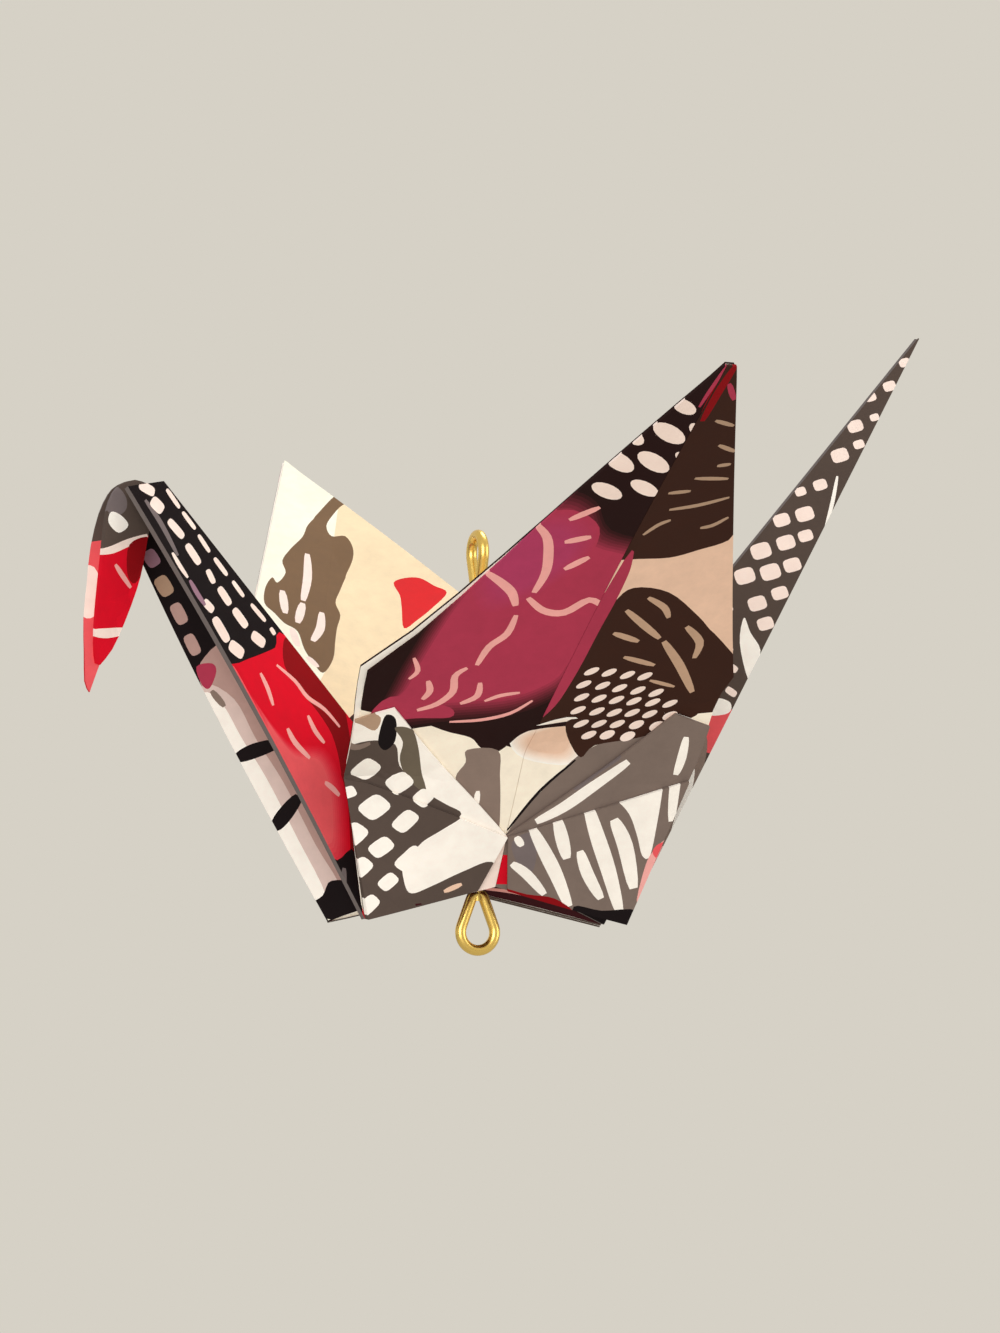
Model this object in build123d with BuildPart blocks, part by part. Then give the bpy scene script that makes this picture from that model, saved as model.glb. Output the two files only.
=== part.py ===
from build123d import *
from math import cos, sin, tan, radians
import os

# Paper crane folded from one square, hung on a wire pin that passes through its back
# and belly. Millimetres, +Z up, head toward -X, tail toward +X, one wing toward -Y
# and the other toward +Y. The origin is the centre of the pin's upper eye.

# The sheet
paper_side = 92.0
sheet = 0.15                 # thickness of one layer
narrowing = 11.25            # degrees each leg edge makes with its centre line
half_side = paper_side / 2

# Body
belly_drop = 21.3            # from the upper eye down to the foot of the belly slit
belly_half_gap = 3.2         # each body panel's distance from the middle at the slit
panel_lean = 34.7            # degrees the body panels lean outward
corner_drop = 2.7            # how far the lower corners hang below the slit, on the sheet
corner_across = 9.2          # from the slit out to each lower corner
back_height = 18.4           # top of the back above the slit
flap_rise = 3.8              # where the two narrowed flaps meet, up the panel
flap_half_gap = 0.1          # half the space between the flaps along the slit
pleat_share = 0.78           # how far out the pleat's upper edge runs before it turns in
back_foot_rise = 0.5         # how far above the slit's foot the back meets each panel
belly_open = 0.04            # share of the lower edge left open beside the slit

# Wings
bend_below_root = 2.3        # at the wing's edges, below the corners where it starts
bend_dip = 4.1               # how much lower the bend lies at the wing's middle
wing_rise = 35.5             # degrees above level
near_sweep = 2.6             # how far the near wing tip lies toward the tail
far_sweep = -0.8
tip_cut = 0.015              # share of the wing's edge that its blunt tip takes off
slit_closed = 0.15           # share of the wing's middle where the raw edges still touch
slit_open = 0.6              # share of the blunt tip that the slit has opened to

# Neck, head and tail
leg_layers = 4
neck_lean = 28.8             # degrees from upright, along the open edge
tail_lean = 29.0
neck_length = 30.8
head_tilt = 10.5             # degrees the head leans out from straight down
spine_half_gap = 0.25

# Wire pin
wire = 0.7
pin_clearance = 0.3          # around the wire where it passes through the paper
hole_overrun = 4.0           # how far the cut for the pin runs past the sheet, each way
eye_radius = 1.15            # the eye's round end, to the middle of the wire
eye_throat = 0.45            # its narrow end, where the wires close
eye_reach = 2.0              # from the round end's centre to the narrow end's
eye_below_slit = 2.9         # the lower eye's centre below the foot of the slit
lower_eye_drop = belly_drop + eye_below_slit

leg_taper = tan(radians(narrowing))


def rise(height):
    """Height above the foot of the belly slit, as a height in the part's own frame."""
    return height - belly_drop


def on_panel(across, up, side):
    """A point of a body panel: across it, up it from the slit, near (-1) or far (1)."""
    lean = radians(panel_lean)
    return Vector(across, side * (belly_half_gap + up * sin(lean)), rise(up * cos(lean)))


def between(a, b, share):
    return a + (b - a) * share


def middle(point):
    """The point's foot on the plane that parts the near side from the far side."""
    return Vector(point.X, 0, point.Z)


def facet(corners, layers=1, lift=0.0, side=0):
    """A flat field of the sheet, given by its corners in order.

    With a side given, the field lies 'lift' layers off its corners on the outer face;
    without one it is centred on them."""
    a, b, c = corners[0], corners[1], corners[2]
    normal = (b - a).cross(c - a).normalized()
    if side and normal.Y * side < 0:
        normal = normal * -1
    field = Plane(origin=a, x_dir=b - a, z_dir=normal)
    flat = [field.to_local_coords(corner) for corner in corners]
    start = (lift - 0.5) if side else -layers / 2
    with BuildSketch(field.offset(start * sheet)) as outline:
        with BuildLine():
            Polyline(*[(place.X, place.Y) for place in flat], close=True)
        make_face()
    extrude(to_extrude=outline.sketch, amount=layers * sheet)


def lower_corner(end, side):
    """Where a leg's open edge leaves the body, at the head (-1) or tail (1) end."""
    return on_panel(end * corner_across, -corner_drop, side)


leg_edge = (half_side - corner_drop) / cos(radians(narrowing))


def leg_tip(end, lean):
    foot = middle(lower_corner(end, 1))
    away = Vector(end * sin(radians(lean)), 0, cos(radians(lean)))
    return foot + away * leg_edge


def spine_foot(end, lean, side):
    """Lower end of a leg's closed edge, where the two halves part around the pin."""
    toward = radians(lean + narrowing)
    foot = leg_tip(end, lean) - Vector(end * sin(toward), 0, cos(toward)) * half_side
    return foot + Vector(0, side * spine_half_gap, 0)


# Where the narrowed edge meets the back's ridge and the wing's edge, up the panel
ridge_up = half_side * (2 ** 0.5 / (1 + leg_taper) - 1)
ridge_across = (half_side + ridge_up) * leg_taper
wing_slope = tan(radians(22.5))
root_up = half_side * (2 * wing_slope / (wing_slope + leg_taper) - 1)
root_across = (half_side + root_up) * leg_taper
wing_bend_side = root_up - bend_below_root
wing_bend_middle = wing_bend_side - bend_dip
bend_across = (half_side + wing_bend_side) * leg_taper

back_top = Vector(0, 0, rise(back_height))
neck_tip = leg_tip(-1, neck_lean)
tail_tip = leg_tip(1, tail_lean)

# Folded sheet
with BuildPart() as folded_paper:
    for side, swing in ((-1, near_sweep), (1, far_sweep)):
        slit_foot = on_panel(0, 0, side)
        flap_meet = on_panel(0, flap_rise, side)
        bend_mid = on_panel(0, wing_bend_middle, side)
        wing_span = half_side - wing_bend_side
        wing_tip = on_panel(0, wing_bend_side, side) + Vector(
            swing,
            side * wing_span * cos(radians(wing_rise)),
            wing_span * sin(radians(wing_rise)),
        )
        corners = [lower_corner(end, side) for end in (-1, 1)]
        ridges = [on_panel(end * ridge_across, ridge_up, side) for end in (-1, 1)]
        bends = [on_panel(end * bend_across, wing_bend_side, side) for end in (-1, 1)]

        # Body panel, two layers from edge to edge
        facet([bends[0], ridges[0], corners[0], slit_foot, corners[1], ridges[1], bends[1],
               bend_mid], 2, -0.5, side)

        for end, corner, ridge, bend in zip((-1, 1), corners, ridges, bends):
            lean = neck_lean if end < 0 else tail_lean
            foot = spine_foot(end, lean, side)

            # The narrowed flap and its pleat, one layer each, meeting at the slit
            beside = Vector(end * flap_half_gap, 0, 0)
            pleat_across = bend_across * pleat_share
            pleat = on_panel(end * pleat_across, flap_rise + pleat_across, side)
            pleat_side = between(ridge, bend, 0.7)
            facet([slit_foot + beside, flap_meet + beside, pleat, pleat_side, corner],
                  1, 1.5, side)
            facet([slit_foot + beside, flap_meet + beside, ridge, corner], 1, 2.5, side)

            # Back and end wall, rising from the ridge and the belly to the top
            back_foot = on_panel(0, back_foot_rise, side) - Vector(0, side * sheet, 0)
            facet([back_top, back_foot, ridge], 1)
            facet([back_top, ridge, foot], 1)
            facet([ridge, corner, foot], 1)
            facet([between(slit_foot, corner, belly_open), corner, foot], 1)

            # Half a wing: the upper layer whole, the lower one stopping at its slit
            widen = root_across / bend_across
            beyond = (root_up - wing_bend_middle
                      - widen * (wing_bend_side - wing_bend_middle))
            root = (bend_mid + (bend - bend_mid) * widen
                    + (wing_tip - bend_mid) * (beyond / (half_side - wing_bend_middle)))
            tip_side = between(wing_tip, root, tip_cut)
            tip_middle = between(wing_tip, bend_mid, tip_cut)
            facet([bend_mid, bend, root, tip_side, tip_middle], 1, -0.5, side)
            slit_start = between(bend_mid, wing_tip, slit_closed)
            slit_end = between(tip_middle, tip_side, slit_open)
            facet([bend_mid, bend, root, tip_side, slit_end, slit_start], 1, 0.5, side)

    # Neck, head and tail: two halves closed along the spine and open along the front
    for side in (-1, 1):
        for end, lean, tip in ((-1, neck_lean, neck_tip), (1, tail_lean, tail_tip)):
            corner = lower_corner(end, side)
            foot = spine_foot(end, lean, side)
            if end > 0:
                facet([foot, corner, tip], leg_layers)
                continue
            share = neck_length / leg_edge
            crown_front = between(corner, tip, share)
            crown_back = between(foot, tip, 1 - (1 - share) * 1.03)
            facet([foot, corner, crown_front, crown_back], leg_layers)
            down = radians(head_tilt)
            brow = between(middle(corner), tip, share)
            beak = brow + Vector(-sin(down), 0, -cos(down)) * (leg_edge - neck_length)
            facet([crown_back, crown_front, beak], leg_layers)

    # Way for the pin through the back and the belly
    with Locations((0, 0, rise((back_height - corner_drop) / 2))):
        Cylinder(wire / 2 + pin_clearance, back_height + corner_drop + 2 * hole_overrun,
                 mode=Mode.SUBTRACT)

folded_paper.part.label = "folded_paper"

# Wire pin, an eye bent at each end in planes square to one another
with BuildPart() as eye_pin:
    with Locations((0, 0, -lower_eye_drop / 2)):
        Cylinder(wire / 2, lower_eye_drop - 2 * eye_reach)
    for eye_plane, centre, toward in (
        (Plane.YZ, 0, -1),
        (Plane.XZ, -lower_eye_drop, 1),
    ):
        with BuildSketch(eye_plane) as eye_line:
            with Locations((0, centre)):
                Circle(eye_radius)
            with Locations((0, centre + toward * eye_reach)):
                Circle(eye_throat)
            make_hull()
        bend_path = eye_line.sketch.face().outer_wire()
        with BuildSketch(Plane(origin=bend_path @ 0, z_dir=bend_path % 0)) as wire_end:
            Circle(wire / 2)
        sweep(sections=wire_end.sketch, path=bend_path)

eye_pin.part.label = "eye_pin"

os.makedirs("parts", exist_ok=True)
export_step(folded_paper.part, "parts/folded_paper.step")
export_step(eye_pin.part, "parts/eye_pin.step")
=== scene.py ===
import math
import bpy
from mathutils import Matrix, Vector
from mathutils.geometry import delaunay_2d_cdt


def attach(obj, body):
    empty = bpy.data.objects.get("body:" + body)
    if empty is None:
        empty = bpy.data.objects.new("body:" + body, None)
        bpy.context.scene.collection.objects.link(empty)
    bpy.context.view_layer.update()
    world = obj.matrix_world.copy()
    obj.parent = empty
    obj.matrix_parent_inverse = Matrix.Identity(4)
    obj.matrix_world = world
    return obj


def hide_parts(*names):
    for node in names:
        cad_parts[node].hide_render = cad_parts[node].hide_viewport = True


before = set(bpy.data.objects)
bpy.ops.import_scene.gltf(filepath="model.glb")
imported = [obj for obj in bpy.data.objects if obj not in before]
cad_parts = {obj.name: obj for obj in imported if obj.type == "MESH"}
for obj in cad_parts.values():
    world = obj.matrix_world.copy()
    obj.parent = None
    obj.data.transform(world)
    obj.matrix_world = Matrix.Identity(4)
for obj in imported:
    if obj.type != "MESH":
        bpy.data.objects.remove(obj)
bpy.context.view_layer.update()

# Lengths are in millimetres in this script, and MM brings them to Blender's metres
MM = 0.001


# Colours
def linear(code):
    """An sRGB code such as "c03040" as linear red, green, blue and alpha."""
    parts = [int(code[i:i + 2], 16) / 255 for i in (0, 2, 4)]
    return tuple(p / 12.92 if p <= 0.04045 else ((p + 0.055) / 1.055) ** 2.4 for p in parts) + (1.0,)


# The shade and petal inks paint the shade in the neck's mouth; shade also colours two of its spots
INK = {
    "cream": "fbeed8", "pale": "fff6ea", "ivory": "fdf6de", "buff": "f6dcb4", "blush": "fce4d6",
    "sand": "f0c8ac", "tan": "b4947a", "fawn": "c4a084", "pink": "f4aaa2", "rose": "b03850",
    "berry": "b03c60", "maroon": "7c2434", "wine": "3c0e14", "coral": "ec5a5e", "red": "dc0a24",
    "rust": "8a060e", "scarlet": "de2a2c", "umber": "7c6046", "olive": "6c6050",
    "taupe": "8a766a", "clay": "7d6c62", "slate": "776a68", "shade": "b8948a",
    "petal": "dcc2b8", "mauve": "9c7684", "brown": "3a2016", "bark": "25100e",
    "moss": "54463e", "charcoal": "584a42", "soot": "170f10", "grey_edge": "6e6460",
}
BACKDROP = "d6d1c6"

# Sizes of the folded crane, heights measured from the foot of the belly slit. A size that
# differs is kept by side, near (-1) or far (1), by end, head (-1) or tail (1), or by both.
SIDE = 92.0
HALF = SIDE / 2
SHEET = 0.16
EYE_ABOVE_SLIT = 21.3
NARROWING = math.radians(11.25)
TAPER = math.tan(NARROWING)
PANEL_GAP = 3.2
PANEL_LEAN = math.radians(34.7)
CORNER_DROP = 2.7
CORNER_ACROSS = 9.2
BACK_TOP = 18.4
BACK_FOOT = 0.5
FLAP_RISE = 3.8
FLAP_OPEN = {-1: 1.2, 1: 0.75}
FLAP_FOOT = -0.2
PLEAT_SHARE = 0.78
PLEAT_EDGE_SHARE = 0.7
SLIT = 0.015
BEND_SIDE, BEND_MIDDLE = 13.85, 9.75
WING_RISE = math.radians(35.5)
SWEEP = {-1: 2.6, 1: -0.8}
NECK_LEAN, TAIL_LEAN = math.radians(28.8), math.radians(29.0)
NECK_LENGTH = 30.8
SPINE_GAP = 0.3

# Paper that has been handled: how much wider a panel's corner is folded, how far its edge
# springs out at the corner and at the ridge, and how the wing's edges, tip and layers lie
WIDER = {(-1, -1): 0.0, (-1, 1): 0.068, (1, -1): 0.05, (1, 1): 0.068}
WIDER_OVER = 6.0
SPRING = {-1: (1.35, -2.5), 1: (0.5, -0.5)}
SPRING_FADE = 1.5
EDGE_HOLLOW = {(-1, -1): 0.85, (-1, 1): 0.1, (1, -1): 0.2, (1, 1): 0.3}
TIP_HALF = {(-1, -1): 0.1, (-1, 1): 0.65, (1, -1): 0.1, (1, 1): 0.1}
TIP_CUT = 0.2
LAYER_STEP = {(-1, -1): 0.6, (-1, 1): 0.1, (1, -1): 0.1, (1, 1): 0.2}
BEND_TURN = 2.6
BEND_ROUND = 1.0
WING_CROWN, CROWN_LENGTH = 0.45, 34
CROWN_OUT, CROWN_UP = 0.5, 0.8
NECK_BOW, BOW_FROM, BOW_OVER = 1.5, 0.2, 0.75
CROWN_FALL = 1.05

# The picture's view: a little under the crane and toward its head. The picture is upright,
# and its scale and the slit's place in it are for the distance of the slit's foot.
VIEW_TURN, VIEW_TILT = math.radians(19.4), math.radians(2.57)
VIEW_DISTANCE = 523.5
EYE_ACROSS, EYE_UP = -1.76, 5.34
AIM_ACROSS, AIM_UP = 1.42, 14.02
VIEW_HEIGHT = 84.87
PICTURE_SCALE = 6.28
SLIT_IN_PICTURE = (511.06, 699.53)


# Folding: where a point of the flat sheet lies
def at(x, y, z):
    return Vector((x, y, z - EYE_ABOVE_SLIT))


def on_panel(x, h, side):
    return at(x, side * (PANEL_GAP + h * math.sin(PANEL_LEAN)), h * math.cos(PANEL_LEAN))


def affine(flat, solid):
    """The map that carries three flat points to three solid ones, kept straight in between."""
    (ax, ay), (bx, by), (cx, cy) = flat
    det = (bx - ax) * (cy - ay) - (cx - ax) * (by - ay)
    a, b, c = solid

    def place(x, y):
        s = ((x - ax) * (cy - ay) - (cx - ax) * (y - ay)) / det
        t = ((bx - ax) * (y - ay) - (x - ax) * (by - ay)) / det
        return a + (b - a) * s + (c - a) * t
    return place


def edge_across(h):
    """Half the width of the body at a height up the sheet."""
    return (HALF + h) * TAPER


SLOPE = math.tan(math.radians(22.5))
RIDGE_UP = HALF * (math.sqrt(2) / (1 + TAPER) - 1)
ROOT_UP = HALF * (2 * SLOPE / (SLOPE + TAPER) - 1)
RIDGE = (edge_across(RIDGE_UP), RIDGE_UP)
ROOT = (edge_across(ROOT_UP), ROOT_UP)
CORNER = (edge_across(-CORNER_DROP), -CORNER_DROP)
BEND = (edge_across(BEND_SIDE), BEND_SIDE)
PLEAT = (PLEAT_SHARE * BEND[0], FLAP_RISE + PLEAT_SHARE * BEND[0])
PLEAT_EDGE = tuple(r + PLEAT_EDGE_SHARE * (b - r) for r, b in zip(RIDGE, BEND))


def across(x, h, side):
    """A flat point's distance from the slit, three of the four corners being folded wider."""
    wider = WIDER[side, 1 if x > 0 else -1]
    return x * (1 + wider * min(max((BEND_SIDE + 1 - h) / WIDER_OVER, 0), 1))


def sprung(x, h):
    """How far a flat point of the panel springs out of its plane, most at the side edge."""
    low, high = SPRING[1 if x > 0 else -1]
    if h < RIDGE_UP:
        edge = low + (high - low) * (h + CORNER_DROP) / (RIDGE_UP + CORNER_DROP)
    else:
        edge = high * max(0, 1 - (h - RIDGE_UP) / (BEND_SIDE - RIDGE_UP)) ** SPRING_FADE
    return edge * min(abs(x) / edge_across(h), 1) ** 2


def body_place(side):
    """Places a flat point of a body panel."""
    def place(x, h):
        return on_panel(across(x, h, side), h, side) + Vector((0, side * sprung(x, h), 0))
    return place


def wing_half_place(side, end):
    """Places a flat point of half a wing, taken as flat."""
    span = HALF - BEND_SIDE
    tip = on_panel(0, BEND_SIDE, side) + Vector(
        (SWEEP[side], side * span * math.cos(WING_RISE), span * math.sin(WING_RISE)))
    return affine([(0, BEND_MIDDLE), (end * BEND[0], BEND_SIDE), (0, HALF)],
                  [on_panel(0, BEND_MIDDLE, side), on_panel(end * BEND[0], BEND_SIDE, side), tip])


def panel_place(side):
    """Places a flat point of a body panel and its wing, which turns closely at its bend and is
    a little crowned along its length."""
    body = body_place(side)
    halves = {end: wing_half_place(side, end) for end in (-1, 1)}
    rise = (BEND_SIDE - BEND_MIDDLE) / BEND[0]

    def place(x, h):
        beyond = h - BEND_MIDDLE - rise * math.sqrt(x * x + BEND_ROUND)
        share = 1 / (1 + math.exp(-max(-20.0, min(beyond * BEND_TURN, 20.0))))
        crown = WING_CROWN * math.sin(math.pi * min(max(beyond / CROWN_LENGTH, 0), 1)) * share
        point = body(x, h).lerp(halves[1 if x > 0 else -1](x, h), share)
        return point + Vector((0, -side * CROWN_OUT, CROWN_UP)) * crown
    return place


# A leg's flat points: across from the spine to the open edge, and down from the tip
LEG = [(0, 0), (0, HALF), (CORNER[0], HALF - CORNER_DROP)]
LEG_EDGE = (HALF - CORNER_DROP) / math.cos(NARROWING)
CROWN = LEG_EDGE - NECK_LENGTH
CROWN_FRONT = (CROWN * math.sin(NARROWING), CROWN * math.cos(NARROWING))
CROWN_BACK = (0, CROWN / LEG_EDGE * CROWN_FALL * HALF)


def leg_lean(end):
    return NECK_LEAN if end < 0 else TAIL_LEAN


def leg_tip(end):
    corner = on_panel(end * CORNER_ACROSS, -CORNER_DROP, 1)
    return Vector((corner.x + end * math.sin(leg_lean(end)) * LEG_EDGE, 0,
                   corner.z + math.cos(leg_lean(end)) * LEG_EDGE))


def spine_foot(end, side):
    lean = leg_lean(end) + NARROWING
    return leg_tip(end) - Vector((end * math.sin(lean), 0, math.cos(lean))) * HALF + Vector(
        (0, side * SPINE_GAP, 0))


def leg_place(end, side):
    """Places a flat point of one half of the neck or tail; the neck's half is bowed out
    along its middle, from a fifth of the way down."""
    tip = leg_tip(end) + Vector((0, side * SPINE_GAP, 0))
    corner = panel_place(side)(end * CORNER[0], -CORNER_DROP)
    straight = affine(LEG, [tip, spine_foot(end, side), corner])

    def place(x, down):
        along = min(max((down / HALF - BOW_FROM) / BOW_OVER, 0), 1)
        bow = NECK_BOW * math.sin(math.pi * along) if end < 0 else 0
        return straight(x, down) + Vector((0, side * bow * x / (TAPER * max(down, 1)), 0))
    return place


# The head: its fold runs down its right, its open edges down its left, the far half longer
HEAD_FOLD = [(-21.4, 24.3), (-21.8, 23.0), (-22.1, 21.6), (-22.4, 19.9), (-22.8, 18.4),
             (-23.6, 16.3), (-24.4, 14.6), (-25.2, 13.6)]
HEAD_TOP = [(-25.0, 23.2), (-24.5, 24.4), (-23.9, 25.0), (-23.0, 25.3), (-22.2, 25.1)]
HEAD_OPEN = {
    -1: [(-25.5, 13.7), (-25.6, 15.0), (-25.6, 16.8), (-25.5, 18.6), (-25.3, 21.0)] + HEAD_TOP,
    1: [(-25.8, 11.9), (-26.1, 12.6), (-26.1, 14.4), (-26.0, 16.6), (-25.7, 18.6),
        (-25.4, 21.2)] + HEAD_TOP,
}
HEAD_WIDTH = 3.2
HEAD_SPREAD = 1.15
HEAD_GAP = 0.2
HEAD_NEAR = -0.6
FOLD_CURL = 0.8
SWELL_FROM, SWELL_OVER, SWELL_FALL = 0.12, 0.7, 1.5


def head_place(side):
    """Places a point of one half of the head, which opens away from its fold."""
    top, foot = HEAD_FOLD[0][1], HEAD_FOLD[-1][1]

    def place(x, z):
        up = min(max((z - foot) / (top - foot), 0), 1)
        fold = HEAD_FOLD[-1][0] + (HEAD_FOLD[0][0] - HEAD_FOLD[-1][0]) * up ** FOLD_CURL
        swell = math.sin(math.pi * (SWELL_FROM + SWELL_OVER * up)) ** SWELL_FALL
        open_by = max(fold - x, 0) / HEAD_WIDTH * HEAD_SPREAD * swell
        return at(x, side * (HEAD_GAP + open_by), z)
    return place


# The view, and the way back from the picture to the sheet
SLIT_FOOT = at(0, 0, 0)
AHEAD = Vector((math.sin(VIEW_TURN) * math.cos(VIEW_TILT),
                math.cos(VIEW_TURN) * math.cos(VIEW_TILT), math.sin(VIEW_TILT)))
RIGHT = Vector((math.cos(VIEW_TURN), -math.sin(VIEW_TURN), 0))
UP = RIGHT.cross(AHEAD)


def seen_at(point):
    """Where the picture shows a point of the crane, in the picture's pixels."""
    offset = point - SLIT_FOOT
    nearer = VIEW_DISTANCE / (VIEW_DISTANCE + offset.dot(AHEAD))
    x = EYE_ACROSS + (offset.dot(RIGHT) - EYE_ACROSS) * nearer
    y = EYE_UP + (offset.dot(UP) - EYE_UP) * nearer
    return SLIT_IN_PICTURE[0] + PICTURE_SCALE * x, SLIT_IN_PICTURE[1] - PICTURE_SCALE * y


# The search starts low on the sheet and ends when the picture's point is met this nearly
SEARCH_START, SEARCH_STEP, SEARCH_TRIES = (0.0, 10.0), 0.01, 60
NEAR_ENOUGH = 0.001


def laid_back(place, x, y):
    """The flat point that the picture shows at x, y, found by Newton's method."""
    (flat_x, flat_y), step = SEARCH_START, SEARCH_STEP
    for _ in range(SEARCH_TRIES):
        seen_x, seen_y = seen_at(place(flat_x, flat_y))
        off_x, off_y = x - seen_x, y - seen_y
        if max(abs(off_x), abs(off_y)) < NEAR_ENOUGH:
            break
        aside_x, aside_y = seen_at(place(flat_x + step, flat_y))
        above_x, above_y = seen_at(place(flat_x, flat_y + step))
        a, b = (aside_x - seen_x) / step, (above_x - seen_x) / step
        c, d = (aside_y - seen_y) / step, (above_y - seen_y) / step
        flat_x += (d * off_x - b * off_y) / (a * d - b * c)
        flat_y += (a * off_y - c * off_x) / (a * d - b * c)
    return flat_x, flat_y


# Shapes of the print, drawn on the flat sheet
def curve(points, closed, cuts=4):
    """A smooth line through the points."""
    count = len(points)
    line = []
    for i in range(count if closed else count - 1):
        if closed:
            a, b, c, d = (points[(i + k) % count] for k in (-1, 0, 1, 2))
        else:
            a, b, c, d = (points[min(max(i + k, 0), count - 1)] for k in (-1, 0, 1, 2))
        for step in range(cuts):
            t = step / cuts
            line.append(tuple(
                b[k] + t * (c[k] - a[k]) / 2
                + t * t * (a[k] - 2.5 * b[k] + 2 * c[k] - d[k] / 2)
                + t * t * t * (-a[k] + 3 * b[k] - 3 * c[k] + d[k]) / 2 for k in (0, 1)))
    return line if closed else line + [points[-1]]


def area(ink, *points):
    return ink, curve(points, True)


def block(ink, *points):
    """A field with straight sides."""
    return ink, list(points)


# A stroke's width runs from this share at its ends to full, along part of a sine's half wave
THIN_SHARE, WAVE_FROM, WAVE_OVER, WAVE_FALL = 0.25, 0.06, 0.88, 0.6


def stroke(ink, width, *points):
    """A brush stroke: full at its middle, about half as wide at its two ends."""
    line = curve(points, False)
    left, right = [], []
    for i, (x, y) in enumerate(line):
        (px, py), (qx, qy) = line[max(i - 1, 0)], line[min(i + 1, len(line) - 1)]
        length = math.hypot(qx - px, qy - py) or 1.0
        along = i / (len(line) - 1)
        fullness = math.sin(math.pi * (WAVE_FROM + WAVE_OVER * along)) ** WAVE_FALL
        half = width / 2 * (THIN_SHARE + (1 - THIN_SHARE) * fullness)
        nx, ny = -(qy - py) / length * half, (qx - px) / length * half
        left.append((x + nx, y + ny))
        right.append((x - nx, y - ny))
    return ink, left + right[::-1]


def spot(ink, x, y, long, short, turn, bulge=1.0, sides=16):
    """An oval, long and short being its half axes; a bulge under 1 squares it off."""
    c, s = math.cos(math.radians(turn)), math.sin(math.radians(turn))
    loop = []
    for i in range(sides):
        t = 2 * math.pi * i / sides
        u = long * math.copysign(abs(math.cos(t)) ** bulge, math.cos(t))
        v = short * math.copysign(abs(math.sin(t)) ** bulge, math.sin(t))
        loop.append((x + u * c - v * s, y + u * s + v * c))
    return ink, loop


CELL_BULGE = 0.55
WASH_BANDS = 9


def wash(outer, inner, start, end, *points):
    """A field whose ink runs from one colour to another over its edge: bands that shrink from
    the start to the end, as shares of the outline."""
    loop = curve(points, True)
    mx, my = (sum(p[k] for p in loop) / len(loop) for k in (0, 1))
    bands = []
    for i in range(WASH_BANDS):
        t = i / (WASH_BANDS - 1)
        size = start + (end - start) * t
        tones = [round(int(INK[outer][k:k + 2], 16) * (1 - t) + int(INK[inner][k:k + 2], 16) * t)
                 for k in (0, 2, 4)]
        bands.append(("%02x%02x%02x" % tuple(tones),
                      [(mx + (x - mx) * size, my + (y - my) * size) for x, y in loop]))
    return bands


def lattice(ink, x, y, across, up, columns, rows, long, short, turn):
    """Cells in staggered rows: across and up are the steps from one to the next."""
    return [spot(ink, x + across[0] * (i + j % 2 / 2) + up[0] * j,
                 y + across[1] * (i + j % 2 / 2) + up[1] * j, long, short, turn, CELL_BULGE)
            for i in range(columns) for j in range(rows)]


def turned(art):
    """The same print seen from the other side of the sheet."""
    return [(ink, [(-x, y) for x, y in loop]) for ink, loop in art]


class Pen:
    """Draws on one field of the sheet. Its points were chosen on the picture, and are given in
    the picture's pixels; it lays them onto the flat sheet, to a tenth of a
    millimetre. Widths are millimetres on the sheet."""

    def __init__(self, place):
        self.place = place

    def flat(self, points):
        found = [laid_back(self.place, x, y) for x, y in points]
        return [(round(x, 1), round(y, 1)) for x, y in found]

    def area(self, ink, *points):
        return area(ink, *self.flat(points))

    def wash(self, outer, inner, start, end, *points):
        return wash(outer, inner, start, end, *self.flat(points))

    def strokes(self, ink, *lines):
        """Strokes of one ink, each given by its width and then its points."""
        return [stroke(ink, width, *self.flat(points)) for width, *points in lines]

    def spots(self, ink, *marks, bulge=1.0):
        """Ovals of one ink, each given by its middle, the way to its end, and half its width."""
        drawn = []
        for x, y, along, down, short in marks:
            (cx, cy), (ex, ey) = (laid_back(self.place, *p) for p in ((x, y), (x + along, y + down)))
            turn = round(math.degrees(math.atan2(ey - cy, ex - cx)))
            long = round(math.hypot(ex - cx, ey - cy), 2)
            drawn.append(spot(ink, round(cx, 1), round(cy, 1), long, round(short, 2), turn, bulge))
        return drawn

    def cells(self, ink, *marks):
        """Open cells of a drawn net: oblongs with rounded corners, given as ovals are."""
        return self.spots(ink, *marks, bulge=CELL_BULGE)


# Cutting and placing fields of the sheet
def inside(point, loop):
    x, y = point
    hit = False
    for (ax, ay), (bx, by) in zip(loop, loop[1:] + loop[:1]):
        if (ay > y) != (by > y) and x < (bx - ax) * (y - ay) / (by - ay) + ax:
            hit = not hit
    return hit


def box_of(loop):
    xs, ys = [p[0] for p in loop], [p[1] for p in loop]
    return min(xs), min(ys), max(xs), max(ys)


def split_edges(loop, step):
    """The loop with points added so that no edge is longer than the step."""
    out = []
    for (ax, ay), (bx, by) in zip(loop, loop[1:] + loop[:1]):
        n = max(1, math.ceil(math.hypot(bx - ax, by - ay) / step))
        out += [(ax + (bx - ax) * i / n, ay + (by - ay) * i / n) for i in range(n)]
    return out


def within(art, box):
    """The shapes of the print that reach into a box, each with its own box."""
    x0, y0, x1, y1 = box
    kept = []
    for ink, loop in art:
        b = box_of(loop)
        if b[0] < x1 and b[2] > x0 and b[1] < y1 and b[3] > y0:
            kept.append((ink, loop, b))
    return kept


def ink_at(point, shapes, ground):
    """The ink of the topmost shape over a point."""
    for ink, loop, b in reversed(shapes):
        if b[0] <= point[0] <= b[2] and b[1] <= point[1] <= b[3] and inside(point, loop):
            return ink
    return ground


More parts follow.
